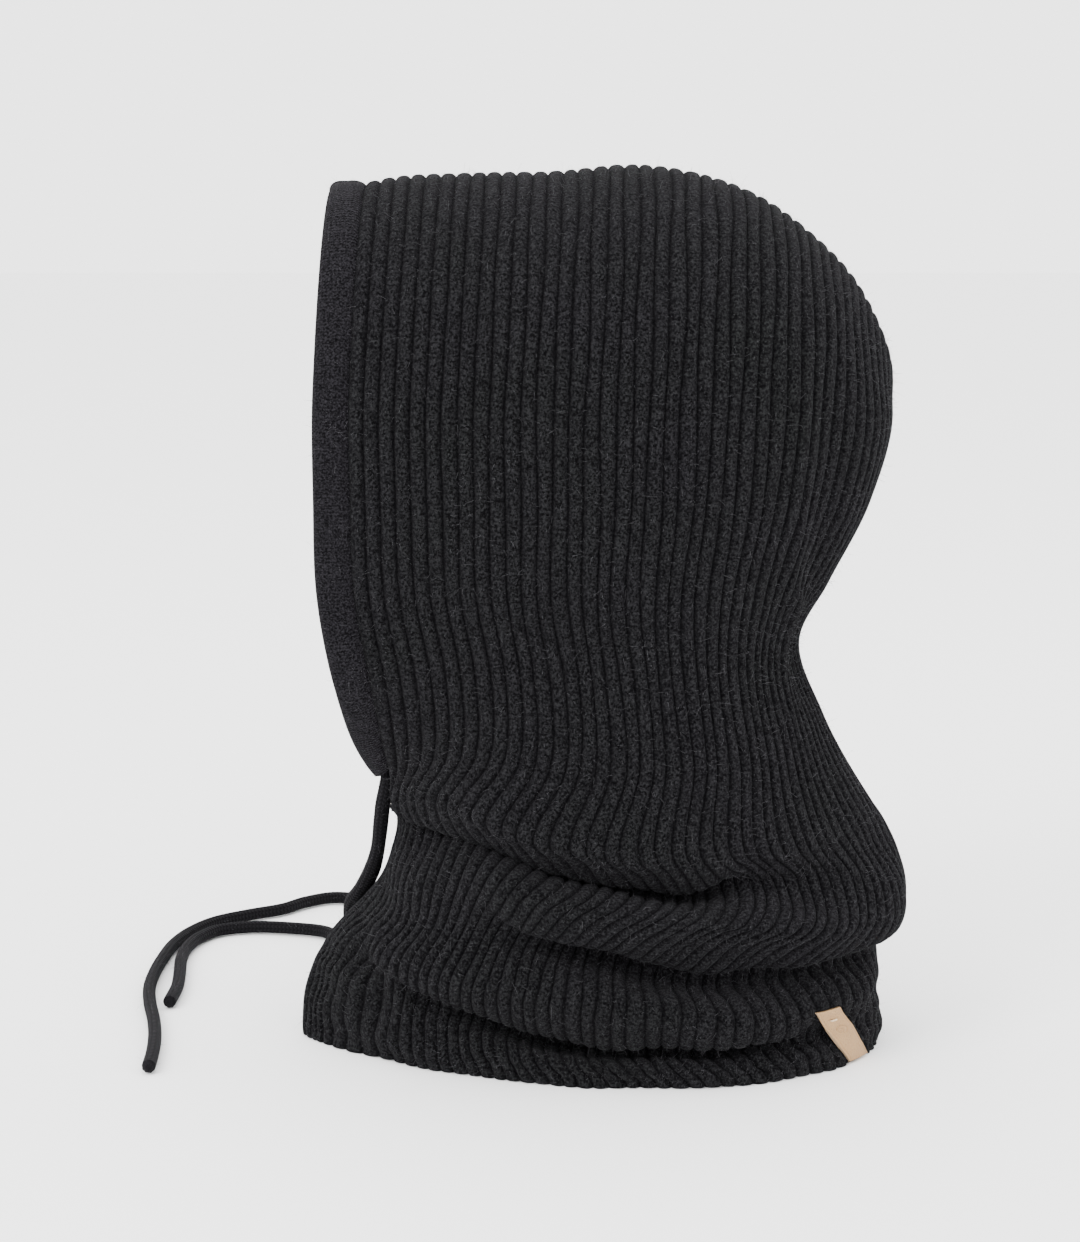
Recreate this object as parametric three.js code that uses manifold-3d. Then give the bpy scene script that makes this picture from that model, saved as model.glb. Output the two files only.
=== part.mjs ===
// A rib-knit hood with a slouchy collar, standing on its hem as if a head still filled it.
// Millimetres. +Z up, the face opening looks along -Y, the wearer's left is +X.
// Origin: centre of the base, on the surface that the hem rests on.
import * as THREE from 'three';
import { mergeGeometries, mergeVertices } from 'three/addons/utils/BufferGeometryUtils.js';
import Module from 'manifold-3d';

// Overall sizes. The levels below are drawn at these values and follow them.
const HOOD_LENGTH = 232; // face edge to the back of the head
const HOOD_WIDTH = 156; // across the temples
const HEIGHT = 362; // floor to the crown
const DRAWN = { length: 232, width: 156, height: 362 };

// Knit body
const KNIT_WALL = 3.6; // thickness of the rib knit
const RIBS_PER_SIDE = 48; // ribs from the centre front to the centre back
const RIBS_UNDER_CHIN = 6; // of those, the ones below the face opening
const RIB_PITCH = 6.3; // width of one rib on the hood
const CROWN_STEP_ANGLE = 15; // degrees from one course of the crown to the next

// Face casing and drawcord
const CASING_WIDTH = 15;
const CASING_WALL = 1.4; // plain knit, folded double round the cord
const CORD_DIAMETER = 5.7;
const CORD_CLEARANCE = 0.6; // all round the cord inside the casing
const LINK_GAP = 0.8; // between the casing and the first rib, where the two are linked
const CASING_FOOT_LEVEL = 7.7; // where the casing stops, just above the collar
const CORD_SIDES = 8;
const RUN_STEPS = 44; // steps along the hidden run
const STEPS_PER_POINT = 1.25; // and along each free end, for each point of its route

// Seams
const SEAM_DEPTH = 4.5; // how far a seam allowance stands into the hood
const SEAM_THICKNESS = 2.6;

// Leather tab, folded over the hem
const TAB_WIDTH = 13.5;
const TAB_THICKNESS = 1.4;
const TAB_PRESS = 0.5; // how far each leaf sinks into the knit
const TAB_FOOT = 0.875; // place of the tab's fold along the hem, 0 front to 1 back
const TAB_ROOM = 0.65; // room all round it in the knit
const TAB_SLANT = -0.078; // how far its top leans forward, in the same measure
const TAB_MARGIN = 0.035; // how far the finer net of the knit reaches past it, in that measure
const TAB_CORNER = 0.06; // share of a leaf that its turn under the hem takes
const TAB_RISE = 0.4; // by which the leaf has left the floor there
const STITCH_WIDTH = 3;
const STITCH_PLACE = 0.82; // up each leaf, 0 at the fold and 1 at the top
const TAB_TOP_LEVEL = 3.05; // course that the tops of its leaves reach
const THREAD_DIAMETER = 1;

// Blank care label, sewn in behind the head
const LABEL_WIDTH = 24;
const LABEL_HEIGHT = 34;
const LABEL_THICKNESS = 0.8;

const GAP = 0.35; // clearance between pieces that touch

// Each level is one course of the knit: its front and back ends, half its width, where it is widest,
// how far the face edge stands off the middle, how pinched its front end is, how strongly its ribs
// are gathered at the front and at the back, its height, and how far it is pushed out (+) or tucked
// in (-). Heights and pushes are given at the front, front side, side, back side and back.
const LEVELS = [
  { name: 'hem', front: -126.5, back: 116.5, half: 73.5, widest: 22, edge: 0, pinch: 1.6,
    gather: [1, 1],
    z: [0, 0, 0, 0, 0], push: [0, 0, 0, 0, 0] },
  { name: 'hem turn', front: -126.5, back: 116.5, half: 74, widest: 22, edge: 0, pinch: 1.5,
    gather: [1, 1],
    z: [12, 9, 7, 7, 9], push: [0, 0, 0, 0, 0] },
  { name: 'low tuck', front: -123, back: 115, half: 73, widest: 20, edge: 0, pinch: 1.3,
    gather: [1, 1],
    z: [28, 24, 14, 13, 18], push: [0, -5, -9, -4, 0] },
  { name: 'low roll', front: -116, back: 115.5, half: 78, widest: 18, edge: 0, pinch: 1.25,
    gather: [1, 1],
    z: [42, 44, 34, 26, 27], push: [0, 3, 3, 1, 0] },
  { name: 'middle tuck', front: -98, back: 115, half: 75, widest: 16, edge: 0, pinch: 1.05,
    gather: [1, 1],
    z: [60, 62, 52, 44, 39], push: [0, 2, -12, -10, 0] },
  { name: 'high roll', front: -89, back: 126.5, half: 79, widest: 14, edge: 0, pinch: 1,
    gather: [1.05, 1],
    z: [78, 84, 72, 62, 61], push: [0, 4, 5, 2, 0] },
  { name: 'high tuck', front: -86, back: 123, half: 73, widest: 10, edge: 0, pinch: 1,
    gather: [1.15, 1],
    z: [98, 100, 86, 80, 80], push: [0, -8, -13, -8, 0] },
  { name: 'overhang', front: -88, back: 112, half: 73, widest: 8, edge: 0, pinch: 1,
    gather: [1.3, 1.05],
    z: [106, 110, 95, 91, 99], push: [0, 2, 4, 0, 0] },
  { name: 'jaw', front: -97, back: 90, half: 65, widest: 4, edge: 20, pinch: 1,
    gather: [1, 1.12],
    z: [118, 130, 128, 130, 138], push: [0, 0, 0, 0, 0] },
  { name: 'nape', front: -108, back: 79.6, half: 62, widest: 0, edge: 50, pinch: 1,
    gather: [1, 1.24],
    z: [155, 165, 166, 167, 170], push: [0, 0, 0, 0, 0] },
  { name: 'cheek', front: -114.3, back: 91.5, half: 67, widest: 0, edge: 58, pinch: 1,
    gather: [1, 1.15],
    z: [196, 197, 196, 195, 194], push: [0, 0, 0, 0, 0] },
  { name: 'ear', front: -115, back: 109, half: 74, widest: 5, edge: 61, pinch: 1,
    gather: [1, 1.05],
    z: [235, 234, 233, 231, 229], push: [0, 0, 0, 0, 0] },
  { name: 'temple', front: -114.8, back: 117, half: 78, widest: 10, edge: 62, pinch: 1,
    gather: [1, 1],
    z: [272, 269, 267, 266, 264], push: [0, 0, 0, 0, 0] },
];
const HEM_COURSES = 0.6; // up to here the knit stands straight up from the floor
const CHIN_LEVEL = 7; // the face opening starts here
const EAR_LEVEL = 11;
const TEMPLE_LEVEL = LEVELS.length - 1;
const CROWN_STEPS = 90 / CROWN_STEP_ANGLE;
const RIDGE_LEVEL = TEMPLE_LEVEL + CROWN_STEPS;

// The crown seam in side view, from the forehead to the back of the head: y and height.
const RIDGE = [
  [-111, 352.4], [-88, 356.4], [-30, 359.5], [10, 361.8], [44, 356.8], [77, 340.6], [100, 316.5],
  [113, 292], [116.6, 275],
];

// Free ends of the drawcord, from the casing's mouths over the collar's front and along the surface.
const LEFT_TAIL = [
  [19.8, -89.9, 117.8], [17.8, -89.2, 115.4], [15.9, -90, 110], [13.5, -91.6, 102.5],
  [10, -92.6, 95], [2, -94.4, 80.5], [-6.5, -98, 69], [-15, -102.5, 59],
  [-24.5, -107.6, 49.5], [-33, -108, 35], [-41, -107, 20],
  [-53, -106.5, 7.5], [-68, -107, 3], [-100, -111, 3], [-128, -118, 3], [-144, -128, 3],
  [-150, -144, 3], [-152, -163, 3], [-146, -178.5, 3], [-133, -186, 3], [-117, -189.5, 3],
  [-100, -190, 3], [-80, -188.3, 3], [-56, -186.6, 3], [-32, -187.3, 3],
];
const RIGHT_TAIL = [
  [-19.8, -89.9, 117.8], [-17.8, -89.2, 115.4], [-17, -90.2, 109.5], [-18.2, -92.2, 98],
  [-20.6, -94.2, 82], [-24, -97, 66], [-31.5, -102.2, 52], [-41, -102, 36],
  [-53, -100, 19], [-67, -97.5, 7.5], [-84, -97, 3],
  [-115, -99, 3], [-150, -101.5, 3], [-182, -105, 3], [-201, -114, 3], [-205, -128, 3],
  [-197, -140.5, 3], [-184, -151, 3], [-174, -165.5, 3], [-161, -181, 3], [-141, -191.5, 3],
  [-121, -196.5, 3], [-100, -198.5, 3], [-78, -199.3, 3], [-54, -198.6, 3], [-30, -195.2, 3],
  [-9, -191, 3], [18, -187, 3], [37, -185.4, 3], [56, -184.7, 3],
];

const sizeX = HOOD_WIDTH / DRAWN.width;
const sizeY = HOOD_LENGTH / DRAWN.length;
const sizeZ = HEIGHT / DRAWN.height;
const SEAM_S = RIBS_UNDER_CHIN / RIBS_PER_SIDE; // where the casing is linked to the ribs
const EDGE_S = (RIBS_UNDER_CHIN - CASING_WIDTH / RIB_PITCH) / RIBS_PER_SIDE; // the face edge itself

// Smooth value through five readings spread evenly from the centre front to the centre back.
function along(readings, s) {
  const last = readings.length - 1;
  const k = Math.min(last - 1, Math.floor(s * last));
  const t = s * last - k;
  const slope = (i) => (i === 0 || i === last ? 0 : (readings[i + 1] - readings[i - 1]) / 2);
  return THREE.MathUtils.lerp(readings[k], readings[k + 1], t * t * (3 - 2 * t))
    + slope(k) * t * (1 - t) * (1 - t) - slope(k + 1) * t * t * (1 - t);
}

// The level's outline in plan, from its front end to the centre back, as an even-length curve.
function planOutline(level) {
  const start = -Math.acos(level.edge / level.half);
  const reach = (level.widest - level.front) / Math.sin(-start);
  const points = [];
  for (let i = 0; i <= 200; i++) {
    const angle = start + (Math.PI / 2 - start) * (i / 200);
    const pinch = angle < 0 ? level.pinch : 1;
    const run = angle < 0 ? reach : level.back - level.widest;
    points.push(new THREE.Vector2(
      level.half * Math.max(0, Math.cos(angle)) ** pinch,
      level.widest + run * Math.sin(angle),
    ));
  }
  return points;
}

// Point and outward direction at a share of a polyline's length.
function pointOn(points, lengths, share) {
  const target = THREE.MathUtils.clamp(share, 0, 1) * lengths.at(-1);
  let k = 1;
  while (k < points.length - 1 && lengths[k] < target) k += 1;
  const step = points[k].clone().sub(points[k - 1]);
  const point = points[k - 1].clone().addScaledVector(step, (target - lengths[k - 1]) / step.length());
  return { point, outward: new THREE.Vector2(step.y, -step.x).normalize() };
}

function runningLength(points) {
  const lengths = [0];
  for (let i = 1; i < points.length; i++) lengths.push(lengths[i - 1] + points[i].distanceTo(points[i - 1]));
  return lengths;
}

const outlines = LEVELS.map((level) => {
  const points = planOutline(level);
  return { points, lengths: runningLength(points) };
});
const hemRun = outlines[0].lengths.at(-1) * sizeY;
const ridgePoints = new THREE.SplineCurve(RIDGE.map(([y, z]) => new THREE.Vector2(y, z))).getPoints(160);
const ridgeLengths = runningLength(ridgePoints);

// One rib's line from the hem towards the crown, as points on the levels it crosses.
const waleCache = new Map();
function waleControls(s) {
  const controls = [];
  LEVELS.forEach((level, i) => {
    const start = level.edge > 0 ? EDGE_S : 0;
    if (s < start - 1e-9) return;
    const plain = THREE.MathUtils.clamp((s - start) / (1 - start), 0, 1);
    const share = 1 - (1 - plain ** level.gather[0]) ** level.gather[1];
    const { point, outward } = pointOn(outlines[i].points, outlines[i].lengths, share);
    const push = along(level.push, s);
    controls.push(new THREE.Vector3(
      (s === 0 || s === 1 ? 0 : point.x + outward.x * push) * sizeX,
      (point.y + outward.y * push) * sizeY,
      along(level.z, s) * sizeZ,
    ));
  });
  if (s < EDGE_S - 1e-9) return controls;
  const temple = controls.at(-1);
  const { point } = pointOn(ridgePoints, ridgeLengths, (s - EDGE_S) / (1 - EDGE_S));
  const top = new THREE.Vector3(0, point.x * sizeY, point.y * sizeZ);
  for (let step = 1; step < 2 * CROWN_STEPS; step++) {
    const angle = THREE.MathUtils.degToRad(step * CROWN_STEP_ANGLE);
    const rise = Math.sin(angle);
    controls.push(new THREE.Vector3(
      temple.x * Math.cos(angle),
      THREE.MathUtils.lerp(temple.y, top.y, rise),
      THREE.MathUtils.lerp(temple.z, top.z, rise),
    ));
  }
  return controls;
}

// Outer face of the knit. side is 1 for the wearer's left and -1 for the right; s runs from the
// centre front (0) to the centre back (1); level counts the courses up from the hem.
function knitPoint(side, s, level) {
  if (!waleCache.has(s)) waleCache.set(s, new THREE.CatmullRomCurve3(waleControls(s), false, 'chordal'));
  const wale = waleCache.get(s);
  const point = wale.getPoint(Math.min(1, level / (wale.points.length - 1)));
  point.x *= side;
  return point;
}

function knitNormal(side, s, level) {
  const ds = 0.004;
  const dl = 0.04;
  const across = knitPoint(side, Math.min(1, s + ds), level).sub(knitPoint(side, Math.max(0, s - ds), level));
  const up = knitPoint(side, s, level + dl).sub(knitPoint(side, s, Math.max(0, level - dl)));
  return across.cross(up).multiplyScalar(side).normalize();
}

// ---- sheets and shells ----

// A grid of points as an indexed surface; closed joins the last column to the first.
function gridSurface(rows, { flip = false } = {}) {
  const columns = rows[0].length;
  const positions = rows.flat().flatMap((p) => [p.x, p.y, p.z]);
  const index = [];
  for (let i = 0; i < rows.length - 1; i++) {
    for (let j = 0; j < columns - 1; j++) {
      const a = i * columns + j;
      const b = a + 1;
      const c = b + columns;
      const d = a + columns;
      if (flip) index.push(a, c, b, a, d, c);
      else index.push(a, b, c, a, c, d);
    }
  }
  const geometry = new THREE.BufferGeometry();
  geometry.setAttribute('position', new THREE.Float32BufferAttribute(positions, 3));
  geometry.setIndex(index);
  return geometry;
}

function weld(geometries) {
  const joined = geometries.length > 1 ? mergeGeometries(geometries) : geometries[0];
  joined.deleteAttribute('normal');
  joined.deleteAttribute('uv');
  return mergeVertices(joined, 1e-3);
}

// Gives an open surface a wall on the side away from its faces, closing its rims.
function thicken(surface, wall, keepFlat = () => false) {
  const sheet = surface.clone();
  sheet.computeVertexNormals();
  const position = sheet.getAttribute('position');
  const normal = sheet.getAttribute('normal');
  const outer = [];
  const inner = [];
  for (let i = 0; i < position.count; i++) {
    const p = new THREE.Vector3().fromBufferAttribute(position, i);
    const n = new THREE.Vector3().fromBufferAttribute(normal, i);
    if (keepFlat(p)) n.setZ(0).normalize();
    if (Math.abs(p.x) < 1e-3) n.setX(0).normalize();
    outer.push(p.x, p.y, p.z);
    inner.push(...p.addScaledVector(n, -wall).toArray());
  }
  return closeShell(Array.from(sheet.index.array), outer, inner);
}

// A closed solid between two sheets that share their triangles.
function closeShell(triangles, outer, inner) {
  const count = outer.length / 3;
  const rim = new Map();
  const index = [...triangles];
  for (let t = 0; t < triangles.length; t += 3) {
    const face = triangles.slice(t, t + 3);
    index.push(face[0] + count, face[2] + count, face[1] + count);
    face.forEach((a, k) => {
      const b = face[(k + 1) % 3];
      if (!rim.delete(`${b},${a}`)) rim.set(`${a},${b}`, [a, b]);
    });
  }
  for (const [a, b] of rim.values()) index.push(b, a, a + count, b, a + count, b + count);
  const shell = new THREE.BufferGeometry();
  shell.setAttribute('position', new THREE.Float32BufferAttribute([...outer, ...inner], 3));
  shell.setIndex(index);
  return shell;
}

function range(from, to, steps) {
  return Array.from({ length: steps + 1 }, (_, i) => from + (to - from) * (i / steps));
}

// ---- solids ----
const wasm = await Module();
wasm.setup();

function toSolid(geometry) {
  const bare = geometry.clone();
  bare.deleteAttribute('normal');
  bare.deleteAttribute('uv');
  const merged = mergeVertices(bare, 1e-4);
  return new wasm.Manifold(new wasm.Mesh({
    numProp: 3,
    vertProperties: new Float32Array(merged.getAttribute('position').array),
    triVerts: new Uint32Array(merged.index.array),
  }));
}

function toGeometry(solid) {
  const mesh = solid.getMesh();
  const geometry = new THREE.BufferGeometry();
  geometry.setAttribute('position', new THREE.BufferAttribute(new Float32Array(mesh.vertProperties), 3));
  geometry.setIndex(new THREE.BufferAttribute(new Uint32Array(mesh.triVerts), 1));
  geometry.computeVertexNormals();
  return geometry;
}

// Cuts tools out of a piece and drops the loose crumbs that they leave.
function cut(geometry, ...tools) {
  const left = tools.reduce((solid, tool) => solid.subtract(toSolid(tool)), toSolid(geometry));
  const bodies = left.decompose();
  return toGeometry(bodies.reduce((most, body) => (body.volume() > most.volume() ? body : most)));
}

// ---- pieces ----

// Rib-knit hood and collar, one panel folded round the back of the head.
function knitBody() {
  const collarLevels = range(0, CHIN_LEVEL, CHIN_LEVEL * 3);
  const hoodLevels = [
    ...range(CHIN_LEVEL, TEMPLE_LEVEL, 12),
    ...range(TEMPLE_LEVEL, RIDGE_LEVEL, 6).slice(1),
  ];
  const frontS = range(0, SEAM_S, 4);
  // Columns stand closer where the leather tab lies on the knit.
  const tabS = [TAB_FOOT + TAB_SLANT - TAB_MARGIN, TAB_FOOT + TAB_MARGIN];
  const sideS = [
    ...range(SEAM_S, tabS[0], 11),
    ...range(tabS[0], tabS[1], 9).slice(1),
    ...range(tabS[1], 1, 4).slice(1),
  ];
  const patches = [1, -1].flatMap((side) => [
    [frontS, collarLevels],
    [sideS, collarLevels],
    [sideS, hoodLevels],
  ].map(([stations, levels]) => gridSurface(
    levels.map((level) => stations.map((s) => knitPoint(side, s, level))),
    { flip: side < 0 },
  )));
  return thicken(weld(patches), KNIT_WALL, (p) => p.z < TAB_THICKNESS + 3 * GAP);
}

// Casing: the frame of one cross-section at a level, across the plain band along the face edge.
function casingFrame(side, level) {
  const edge = knitPoint(side, EDGE_S, level);
  const seam = knitPoint(side, SEAM_S, level);
  const normal = knitNormal(side, (EDGE_S + SEAM_S) / 2, level);
  const across = seam.clone().sub(edge);
  const half = across.length() / 2;
  across.normalize();
  normal.addScaledVector(across, -normal.dot(across)).normalize();
  const centre = edge.add(seam).multiplyScalar(0.5).addScaledVector(normal, -KNIT_WALL / 2);
  return { centre, across, normal, half };
}

const CHANNEL = CORD_DIAMETER / 2 + CORD_CLEARANCE;

// All cross-sections from the left foot over the forehead to the right foot.
function casingFrames() {
  const levels = [
    ...range(CASING_FOOT_LEVEL, TEMPLE_LEVEL, 14),
    ...range(TEMPLE_LEVEL, RIDGE_LEVEL, 8).slice(1),
  ];
  const left = levels.map((level) => casingFrame(1, level));
  const right = levels.slice(0, -1).reverse().map((level) => casingFrame(-1, level));
  left.at(-1).normal.set(0, 0, 1);
  left.at(-1).across.set(0, 1, 0);
  return [...left, ...right];
}

// Plain-knit band folded double along the face edge: a flat tube, open at both feet.
function faceCasing(frames) {
  const halfDepth = CHANNEL + CASING_WALL;
  const rows = frames.map(({ centre, across, normal, half }) => range(0, 2 * Math.PI, 12).map((angle) => {
    const flat = Math.abs(Math.cos(angle)) ** 0.8 * Math.sign(Math.cos(angle));
    return centre.clone()
      .addScaledVector(across, (half - LINK_GAP) * flat)
      .addScaledVector(normal, halfDepth * Math.sin(angle));
  }));
  return thicken(weld([gridSurface(rows, { flip: true })]), CASING_WALL);
}

function tube(points, steps) {
  const section = new THREE.Shape().absarc(0, 0, CORD_DIAMETER / 2, 0, 2 * Math.PI);
  return new THREE.ExtrudeGeometry(section, {
    extrudePath: new THREE.CatmullRomCurve3(points, false, 'centripetal'),
    steps,
    curveSegments: CORD_SIDES,
    bevelEnabled: false,
  });
}

function freeTail(route) {
  return tube(route.map((p) => new THREE.Vector3(...p)), Math.round(STEPS_PER_POINT * route.length));
}

// A seam allowance standing in from the knit's inner face along one line of the body.
function seamStrip(points, inward) {
  const offset = KNIT_WALL + LINK_GAP;
  const rows = points.map((p, i) => [offset, offset + SEAM_DEPTH].map(
    (depth) => p.clone().addScaledVector(inward[i], depth).setX(SEAM_THICKNESS / 2),
  ));
  return thicken(weld([gridSurface(rows)]), SEAM_THICKNESS);
}

function crownSeam() {
  const stations = range(SEAM_S + 0.012, 0.985, 24);
  const points = stations.map((s) => knitPoint(1, s, RIDGE_LEVEL));
  return seamStrip(points, stations.map((s) => knitNormal(1, s, RIDGE_LEVEL).setX(0).normalize().negate()));
}

function frontSeam() {
  const levels = range(HEM_COURSES, CHIN_LEVEL - 0.4, 21);
  const points = levels.map((level) => knitPoint(1, 0, level));
  return seamStrip(points, levels.map((level) => knitNormal(1, 0, level).setX(0).normalize().negate()));
}

// One point of the leather strip: run goes from 1, the top of a leaf, to 0, its fold at the hem.
function tabPoint(across, run, width, depth) {
  const s = TAB_FOOT + TAB_SLANT * run + across * width / hemRun;
  const level = TAB_TOP_LEVEL * run;
  const normal = knitNormal(1, s, level);
  if (level < HEM_COURSES) normal.setZ(0).normalize();
  return knitPoint(1, s, level).addScaledVector(normal, -depth);
}

// The strip runs down the outer face, under the hem and up the inner face. swell makes the same
// shape larger all round, for the room that it takes out of the knit.
function leatherTab(swell = 0) {
  const shares = range(-0.5, 0.5, 3);
  const wide = TAB_WIDTH + 2 * swell;
  const stands = TAB_THICKNESS - TAB_PRESS + swell;
  const runs = range(1, TAB_CORNER, 10);
  const sheet = (outerDepth, innerDepth, lowest) => {
    const row = (run, depth) => shares.map((across) => {
      const point = tabPoint(across, run, wide, depth);
      return point.setZ(run > 0 ? Math.max(point.z, lowest + TAB_RISE) : lowest);
    });
    return [
      ...runs.map((run) => row(run, outerDepth)),
      row(0, outerDepth),
      row(0, innerDepth),
      ...runs.toReversed().map((run) => row(run, innerDepth)),
    ];
  };
  const knitSide = sheet(TAB_PRESS + swell, KNIT_WALL - TAB_PRESS - swell, TAB_THICKNESS + swell);
  const openSide = sheet(-stands, KNIT_WALL + stands, -swell);
  const positions = (rows) => rows.flat().flatMap((p) => p.toArray());
  return closeShell(Array.from(gridSurface(knitSide).index.array), positions(knitSide), positions(openSide));
}

// Thread loop through both leaves and the knit between them, and the slot that it passes through.
function stitchFrame() {
  const origin = tabPoint(0, STITCH_PLACE, TAB_WIDTH, KNIT_WALL / 2);
  const outward = tabPoint(0, STITCH_PLACE, TAB_WIDTH, 0).sub(origin).normalize();
  const across = tabPoint(0.3, STITCH_PLACE, TAB_WIDTH, KNIT_WALL / 2).sub(origin);
  across.addScaledVector(outward, -across.dot(outward)).normalize();
  return { origin, outward, across, up: outward.clone().cross(across) };
}

function tackStitch({ origin, outward, across, up }) {
  const reach = KNIT_WALL / 2 - TAB_PRESS + TAB_THICKNESS + GAP + THREAD_DIAMETER / 2;
  const rows = range(0, 2 * Math.PI, 18).map((turn) => {
    const centre = origin.clone()
      .addScaledVector(outward, reach * Math.cos(turn))
      .addScaledVector(across, (STITCH_WIDTH / 2) * Math.sin(turn));
    const away = outward.clone().multiplyScalar(STITCH_WIDTH / 2 * Math.cos(turn))
      .addScaledVector(across, reach * Math.sin(turn)).normalize();
    return range(0, 2 * Math.PI, 6).map((angle) => centre.clone()
      .addScaledVector(away, THREAD_DIAMETER / 2 * Math.cos(angle))
      .addScaledVector(up, THREAD_DIAMETER / 2 * Math.sin(angle)));
  });
  return weld([gridSurface(rows, { flip: true })]);
}

function stitchSlot({ origin, outward, across, up }) {
  const slot = new THREE.BoxGeometry(
    4 * (KNIT_WALL + TAB_THICKNESS), STITCH_WIDTH + THREAD_DIAMETER + 2 * GAP, THREAD_DIAMETER + 2 * GAP,
  );
  return slot.applyMatrix4(new THREE.Matrix4().makeBasis(outward, across, up).setPosition(origin));
}

// Blank woven label, sewn flat against the knit behind the head.
function careLabel() {
  const spread = LABEL_WIDTH / 2 / outlines[EAR_LEVEL].lengths.at(-1) / sizeY;
  const rise = LABEL_HEIGHT / (LEVELS[EAR_LEVEL].z.at(-1) - LEVELS[EAR_LEVEL - 1].z.at(-1)) / sizeZ;
  const levels = range(EAR_LEVEL - 0.1 - rise, EAR_LEVEL - 0.1, 6);
  const rows = levels.map((level) => [
    ...range(1 - spread, 1, 3).map((s) => [1, s]),
    ...range(1, 1 - spread, 3).slice(1).map((s) => [-1, s]),
  ].map(([side, s]) => {
    const normal = knitNormal(side, s, level);
    if (s === 1) normal.setX(0).normalize();
    return knitPoint(side, s, level).addScaledVector(normal, -KNIT_WALL - LINK_GAP);
  }));
  return thicken(weld([gridSurface(rows)]), LABEL_THICKNESS);
}

const WOOL = { color: 0x1f1e22, roughness: 0.95 };
const CORD_YARN = { color: 0x232226, roughness: 0.9 };
const GOLD_LEATHER = { color: 0xcbb08c, roughness: 0.45, metalness: 0.35 };
const THREAD = { color: 0xb89a72, roughness: 0.8 };
const LABEL_TAPE = { color: 0x2c2c30, roughness: 0.6 };

const group = new THREE.Group();
function add(name, geometry, finish) {
  const mesh = new THREE.Mesh(geometry, new THREE.MeshStandardMaterial(finish));
  mesh.name = name;
  group.add(mesh);
}

const frames = casingFrames();
const stitch = stitchFrame();
const slot = stitchSlot(stitch);
// A swollen tab misses the plain one by a hair at its sharp turns, so the room is cut in three sizes.
const tabRoom = [TAB_ROOM, TAB_ROOM / 2, 0].map((swell) => leatherTab(swell));
add('knit_body', cut(knitBody(), ...tabRoom, slot), WOOL);
add('face_casing', faceCasing(frames), WOOL);
add('drawcord_run', tube(frames.map(({ centre }) => centre), RUN_STEPS), CORD_YARN);
add('drawcord_left_tail', freeTail(LEFT_TAIL), CORD_YARN);
add('drawcord_right_tail', freeTail(RIGHT_TAIL), CORD_YARN);
add('crown_seam', crownSeam(), WOOL);
add('front_seam', frontSeam(), WOOL);
add('leather_tab', cut(leatherTab(), slot), GOLD_LEATHER);
add('tab_stitch', tackStitch(stitch), THREAD);
add('care_label', careLabel(), LABEL_TAPE);

export default group;
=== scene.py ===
"""A rib-knit balaclava hood with a slouchy collar, a drawcord casing and a leather hem tab.

It stands on its hem as if a head still filled it. Metres, +Z up, the face opening looks along -Y
and the wearer's left is +X.
"""

import math
import random

import bmesh
import bpy
import numpy as np
from mathutils import Matrix, Vector


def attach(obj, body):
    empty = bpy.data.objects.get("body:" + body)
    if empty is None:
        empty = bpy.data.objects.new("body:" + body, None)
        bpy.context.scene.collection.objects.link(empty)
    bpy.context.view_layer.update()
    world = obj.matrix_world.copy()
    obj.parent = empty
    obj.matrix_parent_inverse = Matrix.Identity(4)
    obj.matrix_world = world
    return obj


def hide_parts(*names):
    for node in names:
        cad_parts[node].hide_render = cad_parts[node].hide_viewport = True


bl_info = {
    "name": "Rib-knit Balaclava Hood",
    "version": (1, 0, 0),
    "blender": (4, 5, 0),
    "location": "View3D > Sidebar > Hood",
    "description": "Builds the knit, cords and trim of a balaclava hood round its frame",
    "category": "Object",
}

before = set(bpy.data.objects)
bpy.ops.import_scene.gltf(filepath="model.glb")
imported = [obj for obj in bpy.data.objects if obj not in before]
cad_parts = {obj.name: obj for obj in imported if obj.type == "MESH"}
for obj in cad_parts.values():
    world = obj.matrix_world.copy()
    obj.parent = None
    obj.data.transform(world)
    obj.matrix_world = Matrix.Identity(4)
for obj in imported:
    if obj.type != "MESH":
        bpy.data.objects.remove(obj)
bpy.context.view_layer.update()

MM = 0.001
BODY = "root"

# Sizes that the solids already have, in millimetres.
RIBS_PER_SIDE = 48
RIBS_UNDER_CHIN = 6
RIB_PITCH = 6.3
KNIT_WALL = 3.6
CASING_WIDTH = 15.0
CASING_WALL = 1.4
CASING_FOOT_LEVEL = 7.7
CORD_DIAMETER = 5.7
CORD_CLEARANCE = 0.6
TAB_WIDTH = 13.5
TAB_TOP_LEVEL = 3.05
TAB_THICKNESS = 1.4
TAB_PRESS = 0.5
TAB_FOOT = 0.875
TAB_SLANT = -0.078
CROWN_STEPS = 6

# How finely the pieces are modelled: rows of a net along its levels, and columns of each rib.
COLUMNS_PER_RIB = 8
HOOD_ROWS = 96
CROWN_ROWS = 44
COLLAR_ROWS = 100
CASING_ROWS = 150
CASING_CROWN_ROWS = 70

# Sizes that only the modelled pieces have, in millimetres.
CASING_EASE = 0.2
CORD_SPACING = 0.55
CORD_SIDES = 36
CORD_COLUMNS = 9
CORD_STITCH = 1.9
SEAM_HALF_WIDTH = 1.25
SEAM_HALF_DEPTH = 2.1
SEAM_STITCH = 2.1
SEAM_GAP = 0.8
SEAM_REACH = 2.25

# And in metres.
CASING_FABRIC = 0.0012
LABEL_FABRIC = 0.0006
FIBRE_RADIUS = 0.00004
FIBRE_FLOOR = 0.0001
FLOOR_DROP = 0.0003
FLOOR_HALF = 6

FIBRE_SEED = 11
WORLD_STRENGTH = 3.3

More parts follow.
